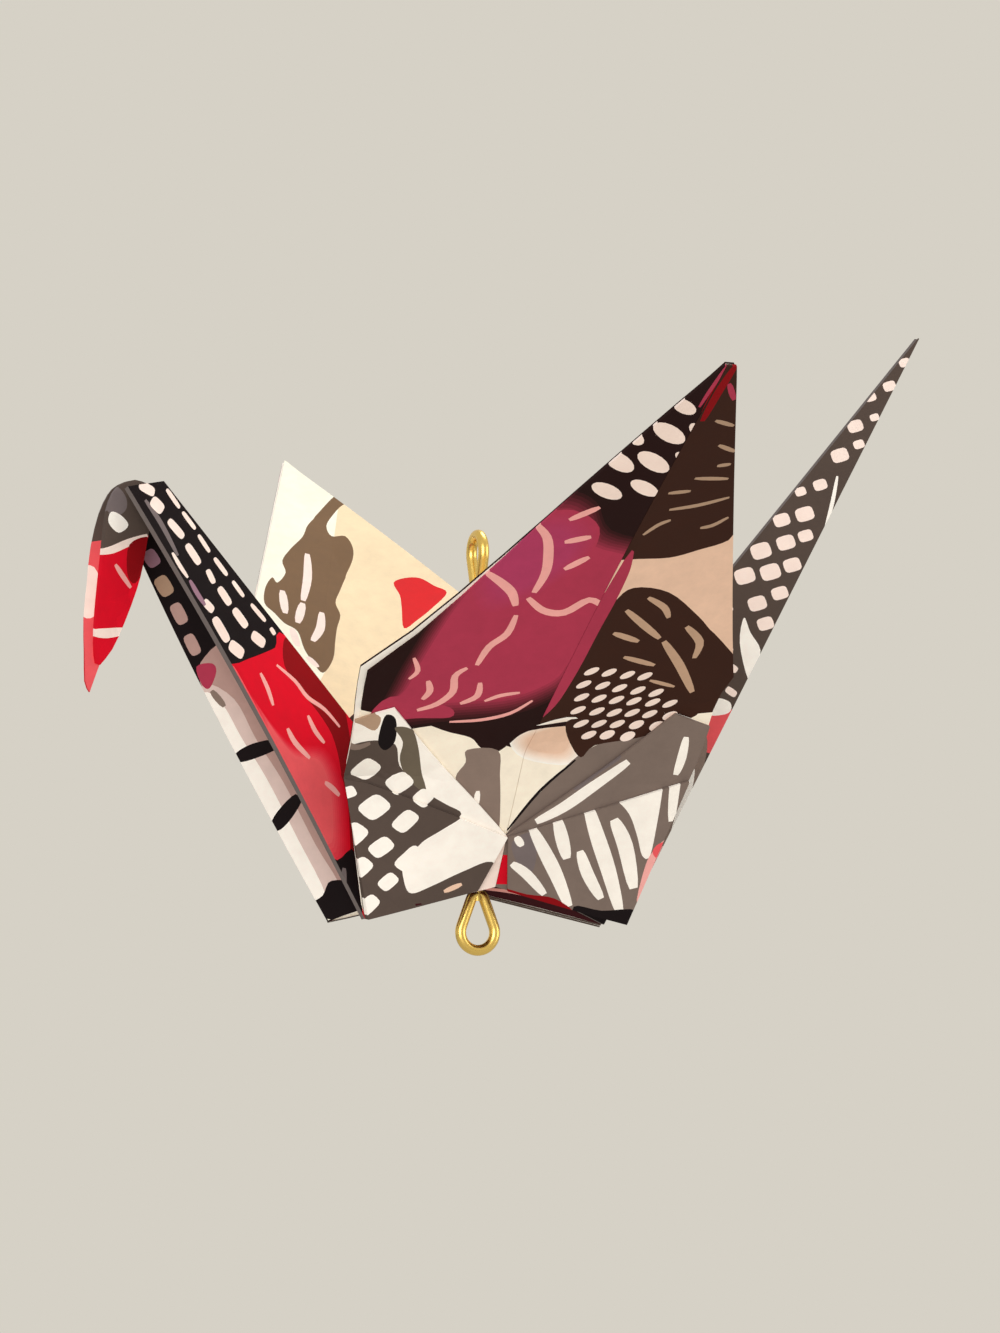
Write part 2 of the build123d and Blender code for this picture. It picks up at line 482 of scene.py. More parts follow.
def cut_up(outline, loops, step):
    """Triangles inside the outline, about a step wide, that keep to every edge of the print."""
    points, edges = [], []
    for loop in [outline] + loops:
        start = len(points)
        points.extend(Vector(p) for p in loop)
        edges.extend((start + i, start + (i + 1) % len(loop)) for i in range(len(loop)))
    x0, y0, x1, y1 = box_of(outline)
    for i in range(1, int((x1 - x0) / step) + 1):
        for j in range(1, int((y1 - y0) / step) + 1):
            p = (x0 + (i - 0.5 * (j % 2)) * step, y0 + j * step)
            if inside(p, outline):
                points.append(Vector(p))
    cut = delaunay_2d_cdt(points, edges, [], 0, 1e-5)
    verts, kept = cut[0], []
    for tri in cut[2]:
        middle = tuple(sum(verts[i][k] for i in tri) / 3 for k in (0, 1))
        (ax, ay), (bx, by), (cx, cy) = (verts[i] for i in tri)
        sliver = abs((bx - ax) * (cy - ay) - (cx - ax) * (by - ay)) < 1e-7
        if inside(middle, outline) and not sliver:
            kept.append((tri, middle))
    return verts, kept


class Sheet:
    """Gathers fields of the folded sheet, each a closed thin plate with print on both faces."""

    def __init__(self):
        self.points, self.faces, self.inks = [], [], []

    def add_face(self, corners, ink):
        self.faces.append(tuple(corners))
        self.inks.append(ink)

    def field(self, outline, place, front, back, front_art=(), back_art=(), thick=SHEET,
              lift=0.0, out=1, step=1.5, rim=None):
        """Adds a field: its flat outline, its place, and the ground and print of its faces.
        Out is 1 where the front looks the way that the flat sheet's own face does."""
        outline = split_edges(outline, step)
        box = box_of(outline)
        shown = [within(art, box) for art in (front_art, back_art)]
        verts, tris = cut_up(outline, [loop for art in shown for _, loop, _ in art], step)
        used = {}
        for tri, _ in tris:
            for i in tri:
                used.setdefault(i, len(used))
        base, count = len(self.points), len(used)
        self.add_points([verts[i] for i in used], place, out, lift, thick)
        edges = {}
        for tri, middle in tris:
            a, b, c = (used[i] for i in tri)
            top = (a, b, c) if out > 0 else (c, b, a)
            ink = ink_at(middle, shown[0], front)
            self.add_face((base + i for i in top), ink)
            self.add_face((base + count + i for i in reversed(top)),
                          ink_at(middle, shown[1], back))
            for i, j in ((top[0], top[1]), (top[1], top[2]), (top[2], top[0])):
                if (j, i) in edges:
                    del edges[j, i]
                else:
                    edges[i, j] = ink
        for (i, j), ink in edges.items():
            self.add_face((base + j, base + i, base + count + i, base + count + j), rim or ink)

    def add_points(self, flat, place, out, lift, thick, reach=0.02):
        """The front's points and then the back's, a sheet's thickness behind them."""
        outer, inner = [], []
        for x, y in flat:
            p = place(x, y)
            n = (place(x + reach, y) - p).cross(place(x, y + reach) - p).normalized() * out
            outer.append(p + n * lift)
            inner.append(p + n * (lift - thick))
        self.points += outer + inner

    def finish(self, name, material):
        mesh = bpy.data.meshes.new(name)
        mesh.from_pydata([p * MM for p in self.points], [], self.faces)
        ink = mesh.color_attributes.new("print", "FLOAT_COLOR", "CORNER")
        codes = {code: linear(INK.get(code, code)) for code in set(self.inks)}
        values = []
        for poly, code in zip(mesh.polygons, self.inks):
            values.extend(codes[code] * len(poly.vertices))
        ink.data.foreach_set("color", values)
        mesh.materials.append(material)
        mesh.update()
        piece = bpy.data.objects.new(name, mesh)
        bpy.context.collection.objects.link(piece)
        return piece


# Materials
def node(tree, kind, *inputs, **settings):
    """Adds one node. Its inputs are given in their order or by name, its settings by name. A
    socket or another node's first output is linked, and a value is set."""
    made = tree.nodes.new(kind)
    given = dict(enumerate(inputs))
    for key, value in settings.items():
        if key.replace("_", " ") in made.inputs:
            given[key.replace("_", " ")] = value
        else:
            setattr(made, key, value)
    for key, value in given.items():
        if isinstance(value, bpy.types.Node):
            value = value.outputs[0]
        if isinstance(value, bpy.types.NodeSocket):
            tree.links.new(value, made.inputs[key])
        else:
            made.inputs[key].default_value = value
    return made


def new_material(name):
    material = bpy.data.materials.new(name)
    material.use_nodes = True
    tree = material.node_tree
    tree.nodes.clear()
    return material, tree


# Paper's tone: the least, and what its fibres and its blots add
LEAST_TONE, FIBRE_TONE, BLOT_TONE = 0.80, 0.28, 0.2


def printed_paper():
    """Soft mulberry paper: ink sunk into the fibres, matt, a little uneven in tone.

    Object coordinates are metres, so the fibres come out near 1.1 mm and the blots near 6 mm.
    Real fibres are finer and wouldn't show."""
    material, tree = new_material("printed_paper")
    where = node(tree, "ShaderNodeTexCoord").outputs["Object"]
    ink = node(tree, "ShaderNodeVertexColor", layer_name="print")
    fibre = node(tree, "ShaderNodeTexNoise", Vector=where, Scale=900.0, Detail=6.0, Roughness=0.7)
    blot = node(tree, "ShaderNodeTexNoise", Vector=where, Scale=160.0, Detail=3.0)
    tone = node(tree, "ShaderNodeMath", fibre, FIBRE_TONE, LEAST_TONE, operation="MULTIPLY_ADD")
    spread = node(tree, "ShaderNodeMath", blot, BLOT_TONE, tone, operation="MULTIPLY_ADD")
    mixed = node(tree, "ShaderNodeVectorMath", ink, operation="SCALE", Scale=spread)
    rough = node(tree, "ShaderNodeMapRange", fibre, To_Min=0.7, To_Max=0.95)
    bump = node(tree, "ShaderNodeBump", Height=fibre, Strength=0.12, Distance=0.06 * MM)
    skin = node(tree, "ShaderNodeBsdfPrincipled", Base_Color=mixed, Roughness=rough, Normal=bump,
                Specular_IOR_Level=0.12)
    node(tree, "ShaderNodeOutputMaterial", skin)
    return material


def gilt_wire():
    """Bright drawn wire with a thin gold plating and faint draw marks, which break up its
    highlights. The marks come out near 0.4 mm, coarser than real ones, so that they show."""
    material, tree = new_material("gilt_wire")
    where = node(tree, "ShaderNodeTexCoord").outputs["Object"]
    marks = node(tree, "ShaderNodeTexNoise", Vector=where, Scale=2600.0, Detail=3.0)
    rough = node(tree, "ShaderNodeMapRange", marks, To_Min=0.2, To_Max=0.36)
    skin = node(tree, "ShaderNodeBsdfPrincipled", Base_Color=linear("f0cc70"), Metallic=1.0,
                Roughness=rough)
    node(tree, "ShaderNodeOutputMaterial", skin)
    return material


def pale_ground():
    """Matt pale card; what the camera sees of it far from the crane is the backdrop's colour,
    reached between 0.15 m and 0.7 m away."""
    material, tree = new_material("pale_ground")
    card = node(tree, "ShaderNodeBsdfDiffuse", Color=linear("d0cac0"))
    far_off = node(tree, "ShaderNodeEmission", Color=linear(BACKDROP))
    where = node(tree, "ShaderNodeTexCoord").outputs["Object"]
    away = node(tree, "ShaderNodeVectorMath", where, operation="LENGTH").outputs["Value"]
    fade = node(tree, "ShaderNodeMapRange", away, From_Min=0.15, From_Max=0.7)
    looked = node(tree, "ShaderNodeLightPath").outputs["Is Camera Ray"]
    seen = node(tree, "ShaderNodeMath", fade, looked, operation="MULTIPLY")
    both = node(tree, "ShaderNodeMixShader", seen, card, far_off)
    node(tree, "ShaderNodeOutputMaterial", both)
    return material


# The print's outlines, as points chosen on the picture. A stroke is its width and its
# points; an oval or cell is its middle, the way to its end, and half its width.

# Near wing, head half: a rose petal with pink veins, and pale seeds toward the tip
PETAL = ((466, 634), (474, 626), (483, 611), (498, 588), (512, 573), (518, 562), (534, 552),
    (547, 545), (558, 549), (564, 560), (584, 566), (580, 576), (568, 592), (562, 604), (552, 614),
    (544, 623), (526, 630), (505, 632), (485, 633))
PETAL_HEART = ((508, 578), (520, 562), (536, 553), (550, 551), (560, 558), (556, 570), (544, 580),
    (526, 590), (512, 592))
PETAL_FOOT = ((466, 632), (476, 624), (488, 626), (500, 628), (500, 632), (484, 632))
PETAL_VEINS = (
    (1.7, (515, 576), (521, 580), (525, 584), (527, 589)),
    (1.7, (534, 556), (539, 562), (540, 570), (538, 577), (534, 584)),
    (1.6, (532, 586), (538, 591), (546, 592), (556, 587), (562, 590)),
    (1.4, (527, 593), (523, 600), (516, 605), (511, 612)),
    (1.3, (507, 613), (502, 616), (501, 622), (495, 627), (487, 629)),
    (1.2, (491, 618), (492, 622), (489, 625)),
    (1.2, (512, 619), (511, 624), (504, 627)),
    (0.9, (514, 626), (520, 624), (528, 623)),
    (0.8, (500, 634), (512, 633), (524, 631), (533, 626)),
    (1.4, (546, 564), (557, 562)),
    (1.4, (546, 575), (556, 570)),
    (1.4, (548, 555), (560, 550)),
    (0.9, (486, 609), (487, 614), (484, 617)),
)
# The petal's veins are drawn at this share of their chosen widths
VEIN_SHARE = 0.36
SEEDS = ((594, 508, 4, 3, 0.5), (588, 519, 5.5, 4, 0.62), (568, 531, 5, 4, 0.6),
    (582, 531, 5.5, 4, 0.6), (563, 543, 5.5, 3, 0.55), (578, 542, 5, 3, 0.5), (574, 521, 3, 3, 0.45),
    (599, 518, 2, 3, 0.35), (593, 529, 2, 2, 0.3))
HEAD_SIDE_TIP = (0.8, (614, 490), (608, 500), (601, 514))
HEAD_SIDE_TIP_LINE = (0.25, (611, 491), (605, 500), (600, 508))

# Near wing, tail half: dark leaves on a sand band, one of them with rows of small spots
SAND_BAND = ((620, 556), (612, 563), (600, 567), (588, 570), (572, 571), (562, 574), (548, 600),
    (556, 598), (566, 588), (574, 582), (588, 584), (600, 593), (606, 600), (620, 608))
LOWER_LEAF_VEINS = (
    (0.5, (571, 591), (578, 597), (584, 602)),
    (0.45, (566, 600), (576, 603)),
    (0.4, (570, 609), (582, 612)),
    (0.45, (580, 586), (586, 590), (588, 594)),
    (0.55, (595, 597), (600, 603), (598, 609)),
    (0.6, (586, 603), (592, 612), (597, 622)),
    (0.3, (580, 618), (590, 620)),
)
UPPER_LEAF_VEINS = (
    (0.34, (598, 538), (612, 538)),
    (0.34, (588, 544), (597, 543)),
    (0.34, (588, 551), (600, 549), (612, 546)),
    (0.34, (578, 561), (584, 557), (589, 555)),
    (0.34, (600.9, 558.1), (606, 557), (612, 554)),
    (0.34, (606, 514), (614, 516)),
    (0.34, (608, 524), (614, 527)),
    (0.34, (607, 533), (613, 532)),
)
TAIL_SIDE_TIP_LINE = (0.4, (612, 498), (614, 505))
TAIL_SIDE_TIP = (0.6, (614, 491), (608, 501), (601, 514))
PETAL_EDGE = ((570, 571), (573, 573), (568, 585), (560, 599), (551, 615), (542, 628), (538, 628))
# Each row of spots: its first spot, how many, and how far each lies below the one before
LEAF_ROWS = ((557, 614.6, 4, 0.6), (554, 619.6, 5, 0.7), (552.6, 624.6, 6, 0.4),
    (551.6, 629.6, 6, 0.3), (552.6, 634.8, 5, 0), (555, 639, 3, -0.3))
LEAF_SPOT_STEP = 7.1
LEAF_SPOT = (3.1, -1.2, 0.3)

# Front of the body, under the flaps
GLOW = ((526, 640), (532, 634), (547, 631), (552, 641), (547, 649), (531, 647))
# Black print along the wing's bend, made darker by painted shade where the wing bends away from the
# body
BLACK_PRINT_AND_BEND_SHADE = ((484, 631), (497, 637), (508, 640), (512, 644), (518, 646), (523, 643), (527, 637),
    (533, 634), (547, 633), (547, 631), (530, 632), (505, 631))
CLAY_LEAF = ((522, 680), (530, 669), (540, 658), (552, 647), (566, 640), (588, 632), (590, 640),
    (575, 650), (555, 662), (538, 672))
# Painted shadow: a brown band in the crease where the wing bends from the body, on the tail side
BEND_SHADOW = ((545, 631), (548, 641), (552, 648), (558, 643), (575, 640), (588, 636), (600, 630),
    (588, 628), (575, 629), (556, 630))
LEAF_LINE = (0.2, (523, 677), (536, 661), (550, 649))
TAUPE_MARK = ((507, 645), (519, 645), (520, 655), (520, 668), (519, 677), (515, 675), (511, 669),
    (505, 662), (502, 656), (506, 650))
TAUPE_LINE = (0.4, (511, 661), (510, 668))

# Head-end panel: a net of pale cells, a cream field and a dark arrow
NET = ((452, 648), (460, 642), (470, 640), (478, 642), (480, 650), (486, 656), (492, 662), (498, 666),
    (504, 670), (497, 675), (489, 680), (485, 684), (480, 686), (481, 697), (484, 701), (492, 698),
    (505, 692), (516, 688), (520, 697), (500, 706), (480, 714), (452, 722))
ARROW = ((474, 630), (478, 632), (478, 640), (474, 644), (471, 641), (472, 635))
OLIVE_MARK = ((478, 635), (484, 636), (487, 642), (488, 652), (490, 661), (484, 657), (480, 648),
    (481, 641))
# Painted shade: a tan patch near the wing's root, standing for the body's inside seen there in shade
SHADED_INSIDE_PATCH = ((458, 624), (466, 628), (472, 631), (470, 636), (464, 634), (458, 631))
NET_LINE = (0.4, (456, 640), (462, 643), (468, 641))
NET_CELLS = ((466, 652, 3.7, -3.2, 0.52), (479.5, 657.5, 3.8, -2.6, 0.5), (489, 663, 2.5, -2.2, 0.4),
    (469.5, 667, 4.2, -3.2, 0.55), (481.5, 672.5, 3.6, -3.4, 0.42), (461, 678, 3.6, -3.4, 0.5),
    (472, 683, 3.8, -2.8, 0.42), (459.5, 661, 2.6, -1, 0.3), (463.5, 691.5, 3.2, -3, 0.42),
    (474.5, 696.5, 3, -2.6, 0.36), (466, 706.5, 3.6, -3.4, 0.38), (455, 670, 3, -3, 0.4),
    (455, 696, 3, -3, 0.4))
# The net's cells are drawn this much longer and wider than chosen, which thins its lines
NET_LONGER, NET_WIDER = 1.04, 1.42
CREAM_GAP = ((477, 690), (481, 685), (486, 682), (490, 688), (484, 693))
SAND_LINE = (0.4, (497, 700), (504, 697))

# Tail-end panel: brushed pale strokes on slate, the pleat and then the flap over it
PLEAT_SLATE = ((546, 656), (552, 649), (558, 644), (564, 643), (568, 647), (560, 653), (550, 660))
PLEAT_STROKES = (
    (0.82, (534, 673), (545, 667), (557, 659), (571, 649)),
    (0.22, (527, 675), (536, 666), (547, 657)),
    (0.6, (594, 639), (592, 647), (590, 654)),
)
FLAP_SLATE = ((524, 680), (533, 676), (534, 684), (532, 692), (527, 690))
FLAP_STROKES = (
    (0.65, (524, 689), (530, 693), (537, 701)),
    (0.86, (532, 675), (537, 684), (542, 694), (547, 706)),
    (0.82, (542, 671), (544, 679), (546, 687)),
    (0.75, (551, 684), (554, 693), (560, 703)),
    (0.95, (554, 665), (558, 677), (563, 692), (567, 708)),
    (0.95, (565, 671), (569, 682), (573, 699)),
    (0.5, (526, 678), (528, 682)),
    (0.7, (592.5, 642), (589.5, 655), (587.5, 672)),
    (0.6, (596, 652), (598, 661)),
)
FLAP_WEDGE = ((563, 663), (572, 658), (584.5, 651.5), (584, 661), (582, 672), (579, 686), (576, 686),
    (574, 678), (571, 669), (566, 664))
FLAP_PINK = ((574, 706), (577, 692), (580, 684), (587, 679), (586, 690), (580, 702))
FLAP_CORAL = ((580, 684), (583, 681), (588, 680), (586, 684), (582, 687))
FLAP_RUST = ((520, 699), (530, 701), (541, 703), (549, 709), (541, 712), (520, 706))
FLAP_SOOT = ((549, 706), (560, 708), (574, 708), (576, 718), (552, 716))

# Neck, near face: rows of cells on soot above a red field that runs to coral
NECK_TOP_LINE = (0.4, (378, 545), (384, 554), (391, 567))
NECK_CELLS = ((379, 540.5, 3.5, 2, 0.4), (383, 547, 2.6, 2.6, 0.5), (390.5, 556.5, 3.4, 4, 0.36),
    (397, 566.5, 3, 4.6, 0.36), (404, 575.5, 1.5, 3.2, 0.28), (410, 583.5, 2.6, 4, 0.36),
    (416, 592, 3, 4.2, 0.38), (423.5, 600.5, 3, 2.4, 0.44), (403.5, 587.5, 2.2, 2.4, 0.36),
    (408.5, 597, 3.2, 5.6, 0.42), (414.5, 604.5, 3.2, 2.6, 0.5), (389.5, 544.5, 3, 4.4, 0.2),
    (395.5, 553, 3, 4, 0.2), (401.5, 562.5, 2.6, 4, 0.2), (408, 571.5, 3, 4, 0.22),
    (415.5, 580.5, 2.6, 3.6, 0.2), (423.5, 590, 3.4, 4, 0.2), (429, 597.5, 1, 1.6, 0.2))
# And these are drawn a little shorter and narrower than chosen
NECK_SHORTER, NECK_NARROWER = 0.88, 0.9
NECK_MARKS = (0.34, (389, 566), (392, 571), (395, 576))
NECK_MAUVE = (0.4, (396, 577), (399, 582), (402, 587))
NECK_RED = ((406, 616), (416, 610), (424, 607), (430, 604), (436, 600), (480, 640), (480, 730),
    (446, 730), (420, 660))
# Painted shade: a dark red strip down the neck's edge by the spine, where that edge lies in shade
NECK_EDGE_SHADE = ((434, 600), (440, 606), (458, 630), (462, 690), (458, 700), (457, 660), (454, 642),
    (449, 632), (441, 622), (434, 611))
NECK_CORAL = ((422, 625.9), (428, 634), (437, 644), (449, 646), (455, 657.9), (457, 672), (456, 690),
    (448, 687), (439, 668), (428, 646))
CORAL_LINE = (0.6, (413, 612), (420, 626), (430, 644))
NECK_VEINS = (
    (0.3, (431, 611), (438, 617), (443, 624), (450, 629), (456, 636)),
    (0.34, (424, 614), (427, 620), (429, 627)),
    (0.36, (443, 631), (446, 637), (450, 642)),
    (0.42, (435, 636), (438, 642), (444, 648)),
    (0.4, (450, 658), (453, 660), (456, 663)),
)
NECK_FOOT = ((448, 686), (455, 689), (462, 686), (464, 720), (446, 720))
NECK_FOOT_LINE = (0.5, (458, 692), (457, 700), (455, 706))

# Neck, inside of the far half: a pale stem with two dark bars
# Painted shade inside the neck's mouth: shade beside the near half, then a paler half shade, then the
# pale stem
STEM_SHADE = ((402, 607), (418, 605.9), (450, 670), (462, 716), (447, 720), (420, 660), (401.9, 622))
STEM_HALF_SHADE = ((402, 618), (414, 624), (423, 640), (434, 658), (446, 682), (458, 704), (450, 720),
    (420, 672), (400, 632))
STEM = ((402, 621), (409, 626), (417, 640), (427, 656), (439, 680), (451, 704), (450, 720), (420, 672),
    (400, 632))
STEM_BARS = ((0.95, (415, 648), (422, 645), (431, 642)), (0.95, (430, 676), (434, 670.9), (440, 663)))
STEM_FOOT = ((444, 708), (449, 703), (453, 697), (462, 700), (462, 722), (444, 722))
STEM_BUD = ((399, 611), (405, 610), (407, 613), (404, 620), (401, 618))
STEM_LINE = (0.4, (405, 621), (410, 627))
STEM_CELLS = (("tan", (386, 579, 2.2, 3.6, 0.42)), ("shade", (392, 590, 2, 4, 0.36)),
              ("shade", (397.5, 602, 2, 4, 0.34)), ("mauve", (381, 567.5, 2, 3, 0.4)))

# Head: a charcoal cap with a pale spot, over red
CAP = ((352, 536), (396, 530), (386, 552), (380, 559), (372, 561), (364, 564), (354, 567))
CAP_SLATE = ((361, 541), (366, 539), (370, 543), (371, 548), (367, 551), (362, 549))
CAP_SPOT = ((364, 550), (368, 551), (371, 555), (367, 558), (363, 554))
CAP_LINE = (0.5, (358, 566), (364, 565), (371, 562), (380, 559))
HEAD_RUST = ((372, 563), (381, 560), (379, 570), (375, 578), (371, 574))
HEAD_PINK_LINE = (0.34, (366, 571), (369, 575), (373, 580))
BEAK_LINE = (0.62, (357, 598), (363, 598), (371, 597))

# Tail, near face: a net of cells that grows toward the body
TAIL_CELL = (3.5, -1.05, 0.46)
TAIL_NET = ((618, 575.5, 1.1), (628, 573.5, 1.1), (637, 571, 0.95), (624.5, 565, 1.1), (634.5, 562, 1),
    (642.5, 559, 0.8), (632.5, 553, 0.9), (642, 550.5, 1.0), (640, 541.5, 0.6), (648, 538.5, 0.75),
    (656, 527, 0.95), (663.5, 522.5, 0.6), (662, 515, 0.85), (670, 512, 0.5), (668, 503.5, 0.6),
    (676, 499.5, 0.7), (682, 490, 0.6), (623, 586, 1.0), (632, 582, 0.9), (626, 594.5, 0.9))
TAIL_SPOTS = ((611, 588), (611, 604.5), (613, 612), (612.5, 622))
TAIL_SPOT = (2, 1.4, 0.24)
TAIL_PALE = ((617.5, 592), (620, 598), (624, 605), (622, 613), (619, 616), (616, 602))
TAIL_CORAL = ((601, 630), (606, 628), (613, 629), (610, 637), (605, 646), (601, 643))
TAIL_PALE_FOOT = ((603, 627), (607, 624), (612, 626), (611, 630), (604, 631))
TAIL_TAUPE = ((560, 640), (596, 632), (602, 637), (602, 650), (590, 690), (560, 720))
TAIL_STROKE = (0.6, (597, 652), (594, 664), (588, 684))
TAIL_PINK = ((576, 690), (585, 683), (584, 690), (576, 704), (572, 702))
TAIL_TOP_LINE = (0.25, (655, 535), (653, 546), (650, 558))

# Far wing, top: an umber leaf with pale veins, and a scarlet tip beside the pin
FAR_LEAF = ((456, 547), (460, 550), (455, 552), (452, 555), (450, 559), (452, 563), (457, 564),
    (460, 569), (460, 574), (457, 580), (455, 585), (453, 590), (455, 595), (454, 600), (453, 605),
    (452, 612), (448, 617), (444, 613), (441, 608), (438, 601), (433, 598), (429, 594), (425, 590),
    (425, 584), (428, 580), (430, 582), (433, 578), (432, 573), (435, 568), (440, 563), (442, 558),
    (447, 553), (452, 548))
FAR_LEAF_VEINS = (
    (0.6, (442, 570), (442, 580), (440, 589)),
    (0.6, (432, 585), (433, 594)),
    (0.6, (440, 590), (438, 598)),
    (0.6, (448, 594), (447, 600), (444, 605)),
    (0.55, (436, 600), (438, 607)),
    (0.5, (442, 611), (446, 615)),
)
FAR_SCARLET = ((477, 582), (481, 580), (487, 580), (493, 583), (498, 586), (492, 592), (486, 597),
    (481, 600), (480, 592), (479, 587))


# The print, field by field, each list from its lowest shape to its topmost
pen = Pen(wing_half_place(-1, -1))
NEAR_WING_HEAD = [
    *pen.wash("bark", "rose", 1.06, 0.84, *PETAL),
    *pen.wash("rose", "berry", 1.0, 0.6, *PETAL_HEART),
    pen.area("rose", *PETAL_FOOT),
    *pen.strokes("pink", *((round(width * VEIN_SHARE, 2), *points)
                           for width, *points in PETAL_VEINS)),
    *pen.spots("blush", *SEEDS),
    *pen.strokes("rust", HEAD_SIDE_TIP),
    *pen.strokes("rose", HEAD_SIDE_TIP_LINE),
]
pen = Pen(wing_half_place(-1, 1))
NEAR_WING_TAIL = [
    pen.area("sand", *SAND_BAND),
    *pen.strokes("fawn", *LOWER_LEAF_VEINS),
    *pen.strokes("tan", *UPPER_LEAF_VEINS),
    *pen.strokes("rose", TAIL_SIDE_TIP_LINE),
    *pen.strokes("rust", TAIL_SIDE_TIP),
    pen.area("rose", *PETAL_EDGE),
    *pen.spots("blush", *((x + k * LEAF_SPOT_STEP, y + k * fall, *LEAF_SPOT)
                          for x, y, count, fall in LEAF_ROWS for k in range(count))),
]
pen = Pen(body_place(-1))
FRONT = [
    *pen.wash("pale", "sand", 1.2, 0.7, *GLOW),
    # black print with painted shade along the wing's bend
    pen.area("bark", *BLACK_PRINT_AND_BEND_SHADE),
    pen.area("clay", *CLAY_LEAF),
    # painted shadow in the crease of the wing's bend
    pen.area("brown", *BEND_SHADOW),
    *pen.strokes("soot", LEAF_LINE),
    pen.area("taupe", *TAUPE_MARK),
    *pen.strokes("pale", TAUPE_LINE),
]
HEAD_PANEL = [
    pen.area("charcoal", *NET),
    pen.area("soot", *ARROW),
    pen.area("olive", *OLIVE_MARK),
    # painted shade of the body's inside
    pen.area("tan", *SHADED_INSIDE_PATCH),
    *pen.strokes("taupe", NET_LINE),
    *pen.cells("pale", *((x, y, along * NET_LONGER, down * NET_LONGER, half * NET_WIDER)
                         for x, y, along, down, half in NET_CELLS)),
    pen.area("pale", *CREAM_GAP),
    *pen.strokes("sand", SAND_LINE),
]
TAIL_PLEAT = [pen.area("slate", *PLEAT_SLATE), *pen.strokes("pale", *PLEAT_STROKES)]
TAIL_FLAP = [
    pen.area("slate", *FLAP_SLATE),
    *pen.strokes("pale", *FLAP_STROKES),
    pen.area("pale", *FLAP_WEDGE),
    pen.area("pink", *FLAP_PINK),
    pen.area("coral", *FLAP_CORAL),
    pen.area("rust", *FLAP_RUST),
    pen.area("soot", *FLAP_SOOT),
]
pen = Pen(leg_place(-1, -1))
NECK_OUTSIDE = [
    *pen.strokes("slate", NECK_TOP_LINE),
    *pen.cells("blush", *((x, y, along * NECK_SHORTER, down * NECK_SHORTER, half * NECK_NARROWER)
                          for x, y, along, down, half in NECK_CELLS)),
    *pen.strokes("blush", NECK_MARKS),
    *pen.strokes("mauve", NECK_MAUVE),
    pen.area("red", *NECK_RED),
    # painted shade down the neck's spine side
    pen.area("rust", *NECK_EDGE_SHADE),
    *pen.wash("red", "coral", 1.2, 0.75, *NECK_CORAL),
    *pen.strokes("coral", CORAL_LINE),
    *pen.strokes("pink", *NECK_VEINS),
    pen.area("soot", *NECK_FOOT),
    *pen.strokes("slate", NECK_FOOT_LINE),
]
pen = Pen(leg_place(-1, 1))
NECK_INSIDE = [
    # painted shade in the neck's mouth, darkest beside the near half
    pen.area("shade", *STEM_SHADE),
    pen.area("petal", *STEM_HALF_SHADE),
    pen.area("pale", *STEM),
    *pen.strokes("soot", *STEM_BARS),
    pen.area("soot", *STEM_FOOT),
    pen.area("rose", *STEM_BUD),
    *pen.strokes("taupe", STEM_LINE),
    *(shape for ink, mark in STEM_CELLS for shape in pen.cells(ink, mark)),
]
pen = Pen(lambda x, z: at(x, HEAD_NEAR, z))
HEAD_OUTSIDE = [
    pen.area("charcoal", *CAP),
    pen.area("slate", *CAP_SLATE),
    pen.area("pale", *CAP_SPOT),
    *pen.strokes("blush", CAP_LINE),
    pen.area("rust", *HEAD_RUST),
    *pen.strokes("pink", HEAD_PINK_LINE),
    *pen.strokes("blush", BEAK_LINE),
]
pen = Pen(leg_place(1, -1))
TAIL_OUTSIDE = [
    *pen.cells("blush", *((x, y, *(round(part * size, 2) for part in TAIL_CELL))
                          for x, y, size in TAIL_NET)),
    *pen.cells("blush", *((x, y, *TAIL_SPOT) for x, y in TAIL_SPOTS)),
    pen.area("pale", *TAIL_PALE),
    pen.area("coral", *TAIL_CORAL),
    pen.area("pale", *TAIL_PALE_FOOT),
    pen.area("taupe", *TAIL_TAUPE),
    *pen.strokes("pale", TAIL_STROKE),
    pen.area("pink", *TAIL_PINK),
    *pen.strokes("pale", TAIL_TOP_LINE),
]
head_half, tail_half = Pen(wing_half_place(1, -1)), Pen(wing_half_place(1, 1))
FAR_TOP = [
    block("buff", (2.5, 41), (0, 34), (-3, 26), (-5, 19), (-9, 12), (14, 12), (9, 30)),
    head_half.area("umber", *FAR_LEAF),
    *head_half.strokes("blush", *FAR_LEAF_VEINS),
    tail_half.area("scarlet", *FAR_SCARLET),
]

# Plain fields, laid out in millimetres on the sheet, and what goes where
HEAD_WING_GROUND = block("bark", (0.2, 9.9), (-4, 11.2), (-13.4, 13.2), (-13.4, HALF), (0.2, HALF))
TAIL_WING_GROUND = block("brown", (-0.2, 10.9), (2.4, 11.9), (5, 12.2), (14, 13.4), (13, HALF),
                         (-0.2, HALF))
HEAD_SLIT_STRIP = block("blush", (-1.7, -0.6), (-1.7, 3.4), (0, 3.9), (0, -0.6))
TAIL_SLIT_STRIP = block("red", (0, 0.2), (0, 2.4), (1.2, 2.4), (1.2, 0.2))
DOTS = lattice("blush", 0.8, 1.5, (1.7, 0.2), (0.1, 1.9), 7, 14, 0.75, 0.42, 70)
HEAD_INSIDE = [
    area("blush", (-26.3, 19.5), (-25.2, 19.8), (-24.8, 18), (-25.4, 16.6), (-26.2, 16.9)),
    block("charcoal", (-27, 21.2), (-20, 22.2), (-20, 27), (-27, 27)),
]

